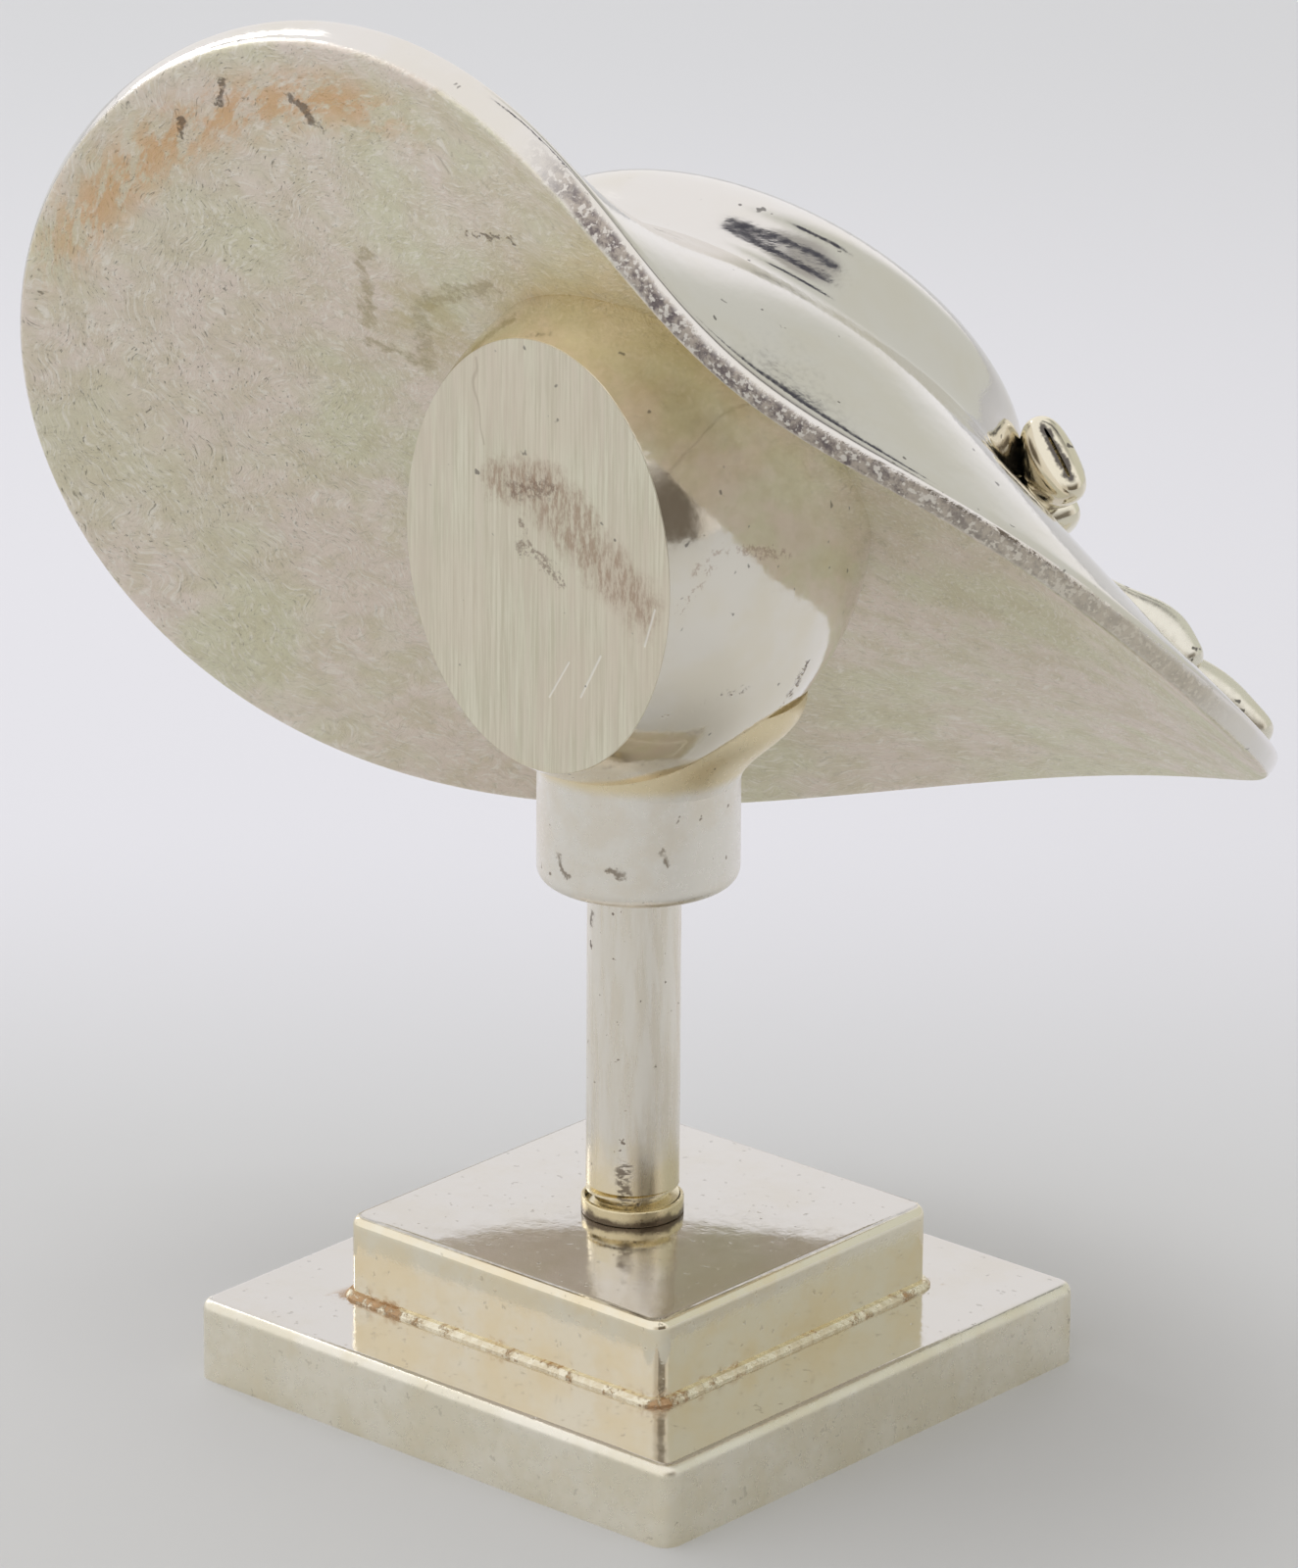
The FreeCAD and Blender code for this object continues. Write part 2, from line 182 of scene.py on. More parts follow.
def basis(count, at, periodic):
    """Cubic B-spline basis: one row per place in `at`, one column per pole."""
    if periodic:
        knots = np.arange(-3, count + 4, dtype=float)
        columns = count + 3
    else:
        knots = np.concatenate([[0] * 3, np.arange(count - 2), [count - 3] * 3]).astype(float)
        columns = count
    at = np.asarray(at, dtype=float)[:, None]
    level = ((knots[:-1] <= at) & (at < knots[1:])).astype(float)
    for p in (1, 2, 3):
        low, high = knots[:-p - 1], knots[p + 1:]
        span_low = np.where(knots[p:-1] > low, knots[p:-1] - low, 1)
        span_high = np.where(high > knots[1:-p], high - knots[1:-p], 1)
        level = (at - low) / span_low * level[:, :-1] + (high - at) / span_high * level[:, 1:]
    if not periodic:
        return level[:, :columns]
    folded = level[:, :count].copy()
    folded[:, :3] += level[:, count:count + 3]
    return folded


def hat_grid():
    """Points of the hat's surface, row by row from the crown's middle to the underside's, and their rows."""
    poles = hat_poles()
    rows, count = poles.shape[:2]
    v = np.linspace(0, rows - 3 - 1e-9, MESH_ROWS)
    u = np.linspace(0, count, MESH_ROUND, endpoint=False)
    by_row = np.tensordot(basis(rows, v, False), poles, axes=(1, 0))
    return np.einsum("uc,vcx->vux", basis(count, u, True), by_row), v


def add_hat():
    """The hat as one closed mesh, with where each point lies on it kept for the material."""
    grid, v = hat_grid()
    points = np.vstack([grid[1:-1].reshape(-1, 3), grid[0, 0], grid[-1, 0]])
    apex, base = len(points) - 2, len(points) - 1
    index = np.arange(apex).reshape(MESH_ROWS - 2, MESH_ROUND)
    after = np.roll(index, -1, axis=1)
    quads = np.stack([index[:-1], index[1:], after[1:], after[:-1]], axis=-1).reshape(-1, 4)
    faces = quads.tolist()
    faces += [(apex, int(a), int(b)) for a, b in zip(index[0], after[0])]
    faces += [(base, int(b), int(a)) for a, b in zip(index[-1], after[-1])]
    hat = mesh_object("hat_shell", points * MM, faces)
    front, left = (points - HAT_CENTRE) @ HAT_FRONT, (points - HAT_CENTRE) @ HAT_LEFT
    turn = np.degrees(np.arctan2(left, front))
    float_attribute(hat, "profile", np.append(np.repeat(v[1:-1], MESH_ROUND), (v[0], v[-1])))
    float_attribute(hat, "reach", np.hypot(front, left))
    float_attribute(hat, "side_angle", turn)
    float_attribute(hat, "around", (turn - SEAM_ANGLE) % 360 + SEAM_ANGLE)
    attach(hat, "mascot")
    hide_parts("hat")
    return hat


# --- node building ----------------------------------------------------------

class Nodes:
    """Short names for building one node tree; places are in millimetres of the CAD frame."""

    def __init__(self, tree):
        self.tree = tree

    def node(self, kind, **settings):
        made = self.tree.nodes.new(kind)
        for name, value in settings.items():
            setattr(made, name, value)
        return made

    def plug(self, socket, value):
        if isinstance(value, bpy.types.NodeSocket):
            self.tree.links.new(value, socket)
        elif hasattr(value, "__len__") and socket.type == "RGBA" and len(value) == 3:
            socket.default_value = (*value, 1)
        else:
            socket.default_value = value

    def math(self, operation, a, b=0.0, clamp=False):
        made = self.node("ShaderNodeMath", operation=operation, use_clamp=clamp)
        self.plug(made.inputs[0], a)
        self.plug(made.inputs[1], b)
        return made.outputs[0]

    def add(self, *terms):
        total = terms[0]
        for term in terms[1:]:
            total = self.math("ADD", total, term)
        return total

    def times(self, *terms):
        total = terms[0]
        for term in terms[1:]:
            total = self.math("MULTIPLY", total, term)
        return total

    def weighed(self, *pairs):
        """Sum of value times weight."""
        return self.add(*(self.times(value, weight) for value, weight in pairs))

    def less(self, a, b):
        return self.math("SUBTRACT", a, b)

    def either(self, *masks):
        total = masks[0]
        for mask in masks[1:]:
            total = self.math("MAXIMUM", total, mask)
        return total

    def vector(self, operation, a, b=(0, 0, 0)):
        made = self.node("ShaderNodeVectorMath", operation=operation)
        self.plug(made.inputs[0], a)
        if operation == "SCALE":
            self.plug(made.inputs["Scale"], b)
        else:
            self.plug(made.inputs[1], b)
        return made.outputs["Value" if operation in ("DOT_PRODUCT", "LENGTH", "DISTANCE") else 0]

    def join(self, x, y, z=0.0):
        made = self.node("ShaderNodeCombineXYZ")
        for socket, value in zip(made.inputs, (x, y, z)):
            self.plug(socket, value)
        return made.outputs[0]

    def split(self, vector):
        made = self.node("ShaderNodeSeparateXYZ")
        self.plug(made.inputs[0], vector)
        return made.outputs

    def place(self):
        """Millimetres in the piece's own frame, which is the CAD frame at rest."""
        return self.vector("SCALE", self.node("ShaderNodeTexCoord").outputs["Object"], 1 / MM)

    def attribute(self, name):
        return self.node("ShaderNodeAttribute", attribute_name=name).outputs["Fac"]

    def ramp(self, value, low, high, out_low=0.0, out_high=1.0):
        """Smooth step from out_low at `low` to out_high at `high`; the two may be given in either order."""
        made = self.node("ShaderNodeMapRange", interpolation_type="SMOOTHSTEP")
        if low > high:
            low, high, out_low, out_high = high, low, out_high, out_low
        self.plug(made.inputs["Value"], value)
        for socket, number in zip(list(made.inputs)[1:5], (low, high, out_low, out_high)):
            self.plug(socket, number)
        return made.outputs["Result"]

    def window(self, value, low, high, soft):
        """1 from `low` to `high`, with soft edges `soft` to either side of each."""
        return self.times(self.ramp(value, low - soft, low + soft),
                          self.ramp(value, high + soft, high - soft))

    def noise(self, at, scale, detail=3.0, rough=0.55):
        made = self.node("ShaderNodeTexNoise")
        self.plug(made.inputs["Vector"], at)
        for name, number in (("Scale", scale), ("Detail", detail), ("Roughness", rough)):
            self.plug(made.inputs[name], number)
        return made.outputs["Fac"]

    def patches(self, at, scale, detail, rough, low, high):
        """Soft-edged patches of noise, from `low` (none) to `high` (full)."""
        return self.ramp(self.noise(at, scale, detail, rough), low, high)

    def shaken(self, at, scales, reach, detail=3.0, rough=0.7):
        """`at` pushed about by up to half of `reach`, so that strokes wander; scale 0 spares an axis."""
        offsets = [self.less(self.noise(at, scale, detail, rough), 0.5) if scale else 0.0 for scale in scales]
        return self.vector("ADD", at, self.vector("SCALE", self.join(*offsets), reach))

    def stretched(self, at, scales):
        return self.vector("MULTIPLY", at, scales)

    def mix(self, share, first, second):
        made = self.node("ShaderNodeMix", data_type="RGBA")
        self.plug(made.inputs[0], share)
        self.plug(made.inputs[6], first)
        self.plug(made.inputs[7], second)
        return made.outputs[2]

    def blend(self, share, first, second):
        """Number between `first` and `second`."""
        made = self.node("ShaderNodeMix", data_type="FLOAT")
        self.plug(made.inputs[0], share)
        self.plug(made.inputs[2], first)
        self.plug(made.inputs[3], second)
        return made.outputs[0]

    def spot(self, at, centre, inner, outer):
        return self.ramp(self.vector("DISTANCE", at, centre), outer, inner)

    def stroke(self, at, points, inner, outer):
        """Mask along a run of straight pieces from point to point."""
        total = 0.0
        for start, end in zip(points, points[1:]):
            along = np.subtract(end, start)
            length = float(np.dot(along, along))      # squared
            offset = self.vector("SUBTRACT", at, tuple(start))
            forward = self.vector("DOT_PRODUCT", offset, tuple(along))
            share = self.math("MULTIPLY", forward, 1 / length, clamp=True)
            nearest = self.vector("SCALE", tuple(along), share)
            piece = self.ramp(self.vector("DISTANCE", offset, nearest), outer, inner)
            total = piece if total == 0.0 else self.either(total, piece)
        return total


BOW_ANGLE = math.radians(134.0)
BOW_RADIUS = 20.4
BOW_HEIGHT = 9.6
BOW_OUTWARD, BOW_DOWN = 0.76, 0.65      # slope of the hat under the bow


def bow_place(along, lie):
    """Point of the bow: `along` the loops and `lie` down the slope of the hat, from the knot's middle."""
    c, s = math.cos(BOW_ANGLE), math.sin(BOW_ANGLE)
    out = HAT_FRONT * c + HAT_LEFT * s
    sideways = HAT_LEFT * c - HAT_FRONT * s
    slope = out * BOW_OUTWARD - HAT_UP * BOW_DOWN
    slope /= np.linalg.norm(slope)
    return in_hat(BOW_RADIUS * c, BOW_RADIUS * s, BOW_HEIGHT) + sideways * along + slope * lie


# --- materials --------------------------------------------------------------

SILVER = (0.90, 0.86, 0.78)
WARM_SILVER = (0.86, 0.79, 0.63)
DARK = (0.06, 0.05, 0.05)
BLACK_BROWN = (0.10, 0.07, 0.05)
COPPER = (0.80, 0.49, 0.23)
CRACK = (0.14, 0.10, 0.07)
FLUX = (0.38, 0.31, 0.12)
FLUX_HALO = (0.62, 0.53, 0.26)
SOLDER_YELLOW = (0.78, 0.66, 0.42)
# in millimetres of the CAD frame
PLATE_HALF = 20.1
PLATE_TOP = 5.4
BLOCK_HALF = 13.3
BLOCK_TOP = 11.0
FACE_Y = -9.6            # the head's flat face
NECK_JOINT_Z = 42.0      # where the neck's solder meets the head


def new_material(name):
    mat = bpy.data.materials.new(name)
    mat.use_nodes = True
    shader = mat.node_tree.nodes["Principled BSDF"]
    shader.inputs["Metallic"].default_value = 1
    return mat, Nodes(mat.node_tree), shader


def specks(n, at, scale, density, seed):
    """Small irregular dots; `density` is the share of the noise range that turns dark."""
    cell = n.noise(n.vector("ADD", at, (seed, seed * 0.37, -seed)), scale, 2.0, 0.6)
    return n.ramp(cell, 0.74 - density, 0.78 - density)


def finish(n, shader, colour, roughness, height, depth):
    """Plug colour and roughness, and bump from `height` (0 to 1) standing `depth` millimetres."""
    n.plug(shader.inputs["Base Color"], colour)
    n.plug(shader.inputs["Roughness"], roughness)
    bump = n.node("ShaderNodeBump")
    bump.inputs["Distance"].default_value = depth * MM
    bump.inputs["Strength"].default_value = 1.0
    n.plug(bump.inputs["Height"], height)
    n.plug(shader.inputs["Normal"], bump.outputs[0])


def polished(name, tint=SILVER, warmth=0.35, roughness=0.10, dots=0.05, seed=1.0, wobble=0.02):
    """Worn polished plate: cloudy warm tint, fine wear, a few dark dots and a slight orange peel."""
    mat, n, shader = new_material(name)
    at = n.place()
    cloud = n.noise(n.vector("ADD", at, (seed, seed, seed)), 0.11, 4.0, 0.6)
    colour = n.mix(n.times(n.ramp(cloud, 0.40, 0.65), warmth), tint, WARM_SILVER)
    fine = n.noise(at, 1.7, 4.0, 0.65)
    dot = specks(n, at, 0.9, dots, seed)
    colour = n.mix(n.times(dot, 0.75), colour, DARK)
    rough = n.add(n.ramp(fine, 0.3, 0.75, roughness * 0.75, roughness * 1.5), n.times(dot, 0.4))
    peel = n.noise(at, 0.35, 2.0, 0.5)
    height = n.less(n.add(peel, n.times(fine, 0.12)), n.times(dot, 0.8))
    finish(n, shader, colour, rough, height, wobble)
    return mat


def hat_material():
    mat, n, shader = new_material("hat_silver")
    at = n.place()
    v, phi, rho = n.attribute("profile"), n.attribute("around"), n.attribute("reach")
    side_angle = n.attribute("side_angle")
    sheet = n.join(n.times(phi, 0.6), rho, v)      # the brim rolled out flat, about to scale at the rim

    # where on the hat
    under = n.ramp(v, 12.95, 13.4)
    ragged = n.times(n.less(n.noise(at, 0.55, 4.0, 0.7), 0.5), 0.9)
    flat_rim = n.times(n.window(n.add(v, ragged), 11.95, 13.15, 0.25), n.window(side_angle, 16, 118, 6))
    polished_top = n.less(1.0, n.either(under, flat_rim))

    # polished top: cloudy, a few long buffing scratches
    cloud = n.patches(at, 0.09, 4.0, 0.6, 0.42, 0.62)
    top = n.mix(n.times(cloud, 0.4), (0.84, 0.81, 0.77), (0.80, 0.75, 0.64))
    scratch = n.noise(n.stretched(at, (0.25, 1.2, 3.2)), 1.6, 2.0, 0.5)
    top_rough = n.ramp(scratch, 0.35, 0.75, 0.07, 0.15)

    # matte cast underside: fibrous strokes lying round the brim, small pits
    bend = n.vector("SCALE", n.join(n.noise(at, 0.14, 2.0), n.noise(at, 0.17, 2.0)), 6.0)
    swirl = n.vector("ADD", sheet, bend)
    fibres = n.noise(n.stretched(swirl, (1.0, 3.4, 0.3)), 1.15, 4.0, 0.7)
    grain = n.noise(at, 3.2, 3.0, 0.7)
    bend = n.vector("SCALE", n.join(*(n.noise(at, scale, 2.0) for scale in (0.3, 0.35, 0.4))), 5.0)
    cross = n.noise(n.stretched(n.vector("ADD", at, bend), (0.8, 1.0, 2.6)), 1.3, 4.0, 0.75)
    upper = n.times(n.ramp(rho, 22, 32), n.window(phi, 262, 352, 18))
    pits = n.times(n.patches(n.stretched(swirl, (1.0, 3.0, 0.3)), 2.3, 3.0, 0.6, 0.62, 0.70),
                   n.add(n.times(upper, 0.55), 0.14))
    beige = n.mix(n.patches(at, 0.10, 4.0, 0.6, 0.38, 0.60), (0.82, 0.80, 0.62), (0.92, 0.83, 0.75))
    for share, tint in ((n.times(n.patches(at, 0.42, 3.0, 0.6, 0.42, 0.66), 0.5), (0.72, 0.67, 0.47)),
                        (n.times(n.patches(at, 0.05, 3.0, 0.55, 0.42, 0.60), 0.3), (0.78, 0.68, 0.56)),
                        (n.times(n.ramp(fibres, 0.48, 0.66), 0.65), (1.0, 0.97, 0.90)),
                        (n.times(n.ramp(cross, 0.50, 0.30), 0.45), (0.56, 0.52, 0.40)),
                        (pits, (0.22, 0.20, 0.15))):
        beige = n.mix(share, beige, tint)

    # bare copper band near the rim, with cracks
    line = n.less(rho, n.add(41.6, n.times(n.less(phi, 309.0), -0.265)))
    band = n.times(n.window(line, -1.9, 1.9, 1.9), n.window(phi, 303, 350, 7))
    patch = n.patches(n.stretched(sheet, (0.55, 1.4, 0.3)), 0.75, 4.0, 0.7, 0.42, 0.58)
    beige = n.mix(n.times(band, n.add(n.times(patch, 0.60), 0.12)), beige, COPPER)
    wander = n.shaken(at, (0.9, 1.1, 1.3), 2.2, rough=0.55)
    cracks = n.either(
        n.stroke(wander, [(-17.9, -12.7, 83.9), (-17.2, -12.4, 83.3), (-16.8, -12.1, 82.4),
                          (-16.3, -11.8, 81.9)], 0.12, 0.42),
        n.stroke(wander, [(-23.5, -13.5, 82.6), (-22.9, -13.8, 83.6), (-22.4, -13.9, 84.3)], 0.10, 0.38),
        n.stroke(wander, [(-26.7, -13.6, 81.2), (-26.9, -13.0, 79.4)], 0.10, 0.38),
        n.stroke(wander, [(-7.1, -8.4, 76.2), (-3.5, -8.4, 76.8)], 0.05, 0.26))
    beige = n.mix(n.times(cracks, 0.70), beige, CRACK)

    # brown-green flux left where the head is soldered in
    flux = n.either(
        n.stroke(wander, [(-16.6, -7.3, 73.0), (-17.6, -7.1, 72.4), (-18.0, -5.7, 70.2), (-20.0, -3.6, 66.8)],
                 0.12, 0.62),
        n.stroke(wander, [(-20.9, -2.8, 65.3), (-19.2, -2.2, 65.2), (-17.7, -1.0, 64.0)], 0.12, 0.62),
        n.stroke(wander, [(-17.5, -1.0, 64.0), (-15.6, -3.3, 67.4), (-15.1, -4.3, 68.8), (-13.5, -4.9, 70.0),
                          (-10.6, -5.4, 71.2), (-7.5, -5.9, 72.4)], 0.22, 0.95))
    flux = n.times(flux, n.ramp(n.noise(at, 1.6, 4.0, 0.75), 0.36, 0.56, 0.30, 1.0))
    beige = n.mix(n.times(flux, 0.50), beige, FLUX)
    halo = n.times(n.spot(at, (-14.6, -3.4, 68.0), 1.5, 6.5), n.patches(at, 0.5, 4.0, 0.7, 0.38, 0.58))
    beige = n.mix(n.times(halo, 0.45), beige, FLUX_HALO)

    # rough unpolished flat of the rim
    chips = n.noise(at, 1.1, 4.0, 0.75)
    rim = n.mix(n.ramp(chips, 0.36, 0.60), (0.20, 0.17, 0.17), (0.52, 0.46, 0.40))
    rim = n.mix(n.ramp(n.noise(at, 2.6, 2.0), 0.52, 0.62), rim, (0.78, 0.74, 0.68))
    rim = n.mix(n.times(n.ramp(side_angle, 62, 108), 0.7), rim, (0.76, 0.70, 0.58))

    colour = n.mix(under, top, beige)
    colour = n.mix(flat_rim, colour, rim)
    soil = n.times(specks(n, at, 0.8, 0.03, 4.0), polished_top)
    colour = n.mix(n.times(soil, 0.7), colour, DARK)
    rough = n.blend(under, top_rough, n.ramp(fibres, 0.3, 0.7, 0.42, 0.56))
    rough = n.blend(flat_rim, rough, 0.42)
    relief = n.weighed((fibres, 0.8), (cross, 0.7), (grain, 0.3), (pits, -0.5), (cracks, -1.6))
    buffed = n.weighed((n.noise(at, 0.22, 2.0), 0.5), (scratch, 0.05))
    height = n.weighed((relief, under), (n.times(chips, 1.6), flat_rim), (buffed, polished_top))
    finish(n, shader, colour, rough, height, 0.10)
    return mat


def head_material():
    mat, n, shader = new_material("head_silver")
    at = n.place()
    _, y, z = n.split(at)
    face = n.ramp(y, FACE_Y + 0.10, FACE_Y + 0.02)
    colour = n.mix(n.times(n.patches(at, 0.12, 4.0, 0.6, 0.42, 0.62), 0.5), SILVER, WARM_SILVER)

    # vertical brushing on the flat face
    brush = n.noise(n.stretched(at, (3.2, 0.5, 0.10)), 1.6, 5.0, 0.7)
    coarse = n.noise(n.stretched(at, (1.1, 0.5, 0.06)), 1.1, 2.0, 0.6)
    flat = n.mix(n.ramp(brush, 0.34, 0.66), (0.70, 0.66, 0.51), (0.86, 0.83, 0.68))
    flat = n.mix(n.times(n.ramp(coarse, 0.42, 0.66), 0.45), flat, (0.78, 0.70, 0.58))
    flat = n.mix(n.times(n.patches(at, 0.10, 3.0, 0.55, 0.42, 0.62), 0.4), flat, (0.80, 0.70, 0.58))
    wander = n.shaken(at, (0.7, 0, 0.9), 3.2, detail=4.0)
    streaks = n.patches(n.stretched(at, (2.2, 0.5, 0.55)), 1.5, 4.0, 0.75, 0.40, 0.62)
    stain = n.either(
        n.stroke(wander, [(-3.6, FACE_Y, 61.6), (0.6, FACE_Y, 62.2), (3.4, FACE_Y, 60.4)], 0.5, 2.0),
        n.stroke(wander, [(0.4, FACE_Y, 61.2), (4.0, FACE_Y, 58.6), (8.0, FACE_Y, 56.2)], 0.6, 2.6))
    stain = n.times(stain, n.add(n.times(streaks, 0.75), 0.25))
    flat = n.mix(n.times(stain, 0.8), flat, (0.46, 0.33, 0.24))
    blots = n.either(
        n.stroke(wander, [(-2.0, FACE_Y, 61.3), (0.8, FACE_Y, 61.8)], 0.15, 0.85),
        n.stroke(wander, [(-1.6, FACE_Y, 57.9), (0.6, FACE_Y, 56.6), (1.6, FACE_Y, 56.0)], 0.05, 0.55),
        n.spot(wander, (-1.5, FACE_Y, 59.0), 0.10, 0.5))
    blots = n.times(blots, n.patches(at, 3.0, 3.0, 0.7, 0.42, 0.56))
    flat = n.mix(n.times(blots, 0.60), flat, (0.24, 0.16, 0.12))
    hair = n.stroke(n.vector("ADD", at, n.join(n.times(n.less(n.noise(at, 0.16, 2.0), 0.5), 3.0), 0.0, 0.0)),
                    [(-5.6, FACE_Y, 69.0), (-4.4, FACE_Y, 63.6)], 0.02, 0.14)
    gouges = n.either(n.stroke(at, [(3.4, FACE_Y, 49.0), (5.0, FACE_Y, 52.0)], 0.01, 0.13),
                      n.stroke(at, [(0.8, FACE_Y, 48.4), (2.4, FACE_Y, 51.0)], 0.01, 0.11),
                      n.stroke(at, [(8.6, FACE_Y, 53.5), (9.4, FACE_Y, 56.0)], 0.01, 0.13))
    flat = n.mix(n.times(hair, 0.35), flat, (0.45, 0.38, 0.28))
    flat = n.mix(n.times(gouges, 0.6), flat, (1.0, 0.98, 0.92))
    colour = n.mix(face, colour, flat)

    # pits and cracks on the side, brown dirt where the hat is soldered on; just above the neck joint a golden
    # band, partly solder colour and partly painted reflection of the neck
    crawl = n.shaken(at, (1.2, 1.4, 1.6), 2.4)
    pits = n.either(n.stroke(crawl, [(10.0, 2.2, 47.6), (10.9, 2.8, 49.8)], 0.10, 0.55),
                    n.stroke(crawl, [(9.6, -6.4, 49.4), (11.0, -3.0, 49.8)], 0.06, 0.42),
                    n.spot(crawl, (8.6, -8.0, 48.9), 0.15, 0.6))
    pits = n.times(pits, n.patches(at, 2.4, 2.0, 0.55, 0.42, 0.54))
    colour = n.mix(n.times(pits, 0.85), colour, (0.16, 0.11, 0.08))
    cracks = n.either(n.stroke(crawl, [(11.4, -8.2, 58.2), (11.8, -6.6, 59.6), (12.4, -4.0, 59.0),
                                       (12.7, -1.0, 58.2)], 0.03, 0.34),
                      n.stroke(crawl, [(11.6, -6.8, 58.4), (10.8, -8.8, 56.2)], 0.03, 0.24))
    colour = n.mix(n.times(cracks, 0.55), colour, (0.46, 0.33, 0.26))
    # partly solder colour, partly painted reflection of the neck: golden just above the neck joint
    solder_and_neck_reflection = n.times(n.ramp(z, NECK_JOINT_Z + 2.0, NECK_JOINT_Z + 0.2), 0.5)
    colour = n.mix(solder_and_neck_reflection, colour, (0.80, 0.66, 0.42))
    uneven = n.times(n.less(n.noise(at, 0.25, 3.0), 0.5), 8.0)
    shelter = n.times(n.ramp(n.add(z, uneven), 62.0, 71.0), n.less(1.0, face))
    colour = n.mix(n.times(shelter, 0.8), colour, SOLDER_YELLOW)
    dot = specks(n, at, 0.8, 0.035, 2.0)
    colour = n.mix(n.times(dot, 0.6), colour, DARK)
    fine = n.noise(at, 1.6, 4.0, 0.65)
    rough = n.blend(face, n.ramp(fine, 0.3, 0.75, 0.08, 0.15), n.ramp(brush, 0.3, 0.7, 0.34, 0.46))
    side = n.weighed((n.noise(at, 0.30, 3.0), 0.7), (pits, -1.2), (fine, 0.06))
    height = n.blend(face, side, n.weighed((brush, 0.45), (gouges, -0.4)))
    finish(n, shader, colour, rough, height, 0.05)
    return mat


def neck_material():
    mat, n, shader = new_material("neck_silver")
    at = n.place()
    z = n.split(at)["Z"]
    cloud = n.patches(at, 0.25, 4.0, 0.65, 0.40, 0.65)
    colour = n.mix(n.times(cloud, 0.55), (0.88, 0.85, 0.78), (0.82, 0.75, 0.63))
    # golden band at the neck's top: partly solder colour, partly a painted yellow reflection
    joint_solder_and_reflection = n.times(n.ramp(z, NECK_JOINT_Z - 1.1, NECK_JOINT_Z - 0.1), 0.75)
    colour = n.mix(joint_solder_and_reflection, colour, (0.85, 0.71, 0.42))
    crawl = n.shaken(at, (1.2, 0, 1.6), 1.6)
    nicks = n.either(n.stroke(crawl, [(-1.2, -6.5, 36.2), (-0.4, -6.5, 35.4)], 0.05, 0.32),
                     n.stroke(crawl, [(2.6, -6.0, 36.4), (3.4, -5.6, 36.0)], 0.05, 0.35),
                     n.stroke(crawl, [(5.2, -3.9, 37.6), (5.5, -3.6, 36.8)], 0.03, 0.28))
    marks = n.either(nicks, specks(n, at, 1.2, 0.04, 7.0))
    colour = n.mix(n.times(marks, 0.75), colour, (0.20, 0.15, 0.10))
    fine = n.noise(at, 2.2, 4.0, 0.65)
    rough = n.ramp(fine, 0.3, 0.75, 0.26, 0.38)
    height = n.less(n.add(n.times(n.noise(at, 0.6, 3.0), 0.6), n.times(fine, 0.15)), n.times(nicks, 0.8))
    finish(n, shader, colour, rough, height, 0.03)
    return mat


def stem_material():
    mat, n, shader = new_material("stem_silver")
    at = n.place()
    z = n.split(at)["Z"]
    drawn = n.noise(n.stretched(at, (1.0, 1.0, 0.12)), 1.4, 4.0, 0.6)
    colour = n.mix(n.times(n.ramp(drawn, 0.38, 0.66), 0.55), (0.90, 0.86, 0.78), (0.80, 0.73, 0.60))
    foot = n.ramp(n.add(z, n.times(n.less(n.noise(at, 0.5, 3.0), 0.5), 6.0)), 17.5, 13.0)
    colour = n.mix(n.times(foot, 0.7), colour, (0.86, 0.76, 0.50))
    crawl = n.shaken(at, (1.4, 0, 1.8), 1.6)
    streak = n.stroke(crawl, [(1.2, -2.9, 12.6), (1.2, -2.9, 14.9)], 0.25, 0.75)
    streak = n.times(streak, n.patches(n.stretched(at, (1.0, 1.0, 3.0)), 1.6, 3.0, 0.55, 0.40, 0.56))
    nick = n.stroke(crawl, [(-1.6, -3.0, 31.0), (-1.5, -3.0, 31.8)], 0.06, 0.34)
    marks = n.either(streak, nick, specks(n, at, 1.3, 0.045, 11.0))
    colour = n.mix(n.times(marks, 0.8), colour, (0.16, 0.12, 0.09))
    rough = n.add(n.ramp(drawn, 0.3, 0.75, 0.20, 0.32), n.times(marks, 0.2))
    height = n.less(n.add(n.times(drawn, 0.4), n.times(n.noise(at, 0.5, 2.0), 0.4)), n.times(marks, 0.6))
    finish(n, shader, colour, rough, height, 0.03)
    return mat


def foot_ring_material():
    mat, n, shader = new_material("foot_ring_silver")
    at = n.place()
    z = n.split(at)["Z"]
    uneven = n.times(n.less(n.noise(at, 1.0, 4.0), 0.5), 1.2)
    # painted shade: the ring turns black-brown towards its lower edge at the block's top
    painted_shade = n.ramp(n.add(z, uneven), BLOCK_TOP + 0.75, BLOCK_TOP + 0.25)
    colour = n.mix(n.times(painted_shade, 0.9), (0.80, 0.70, 0.46), BLACK_BROWN)
    rough = n.ramp(n.noise(at, 2.0, 3.0), 0.3, 0.7, 0.22, 0.40)
    finish(n, shader, colour, rough, n.noise(at, 1.6, 4.0), 0.04)
    return mat


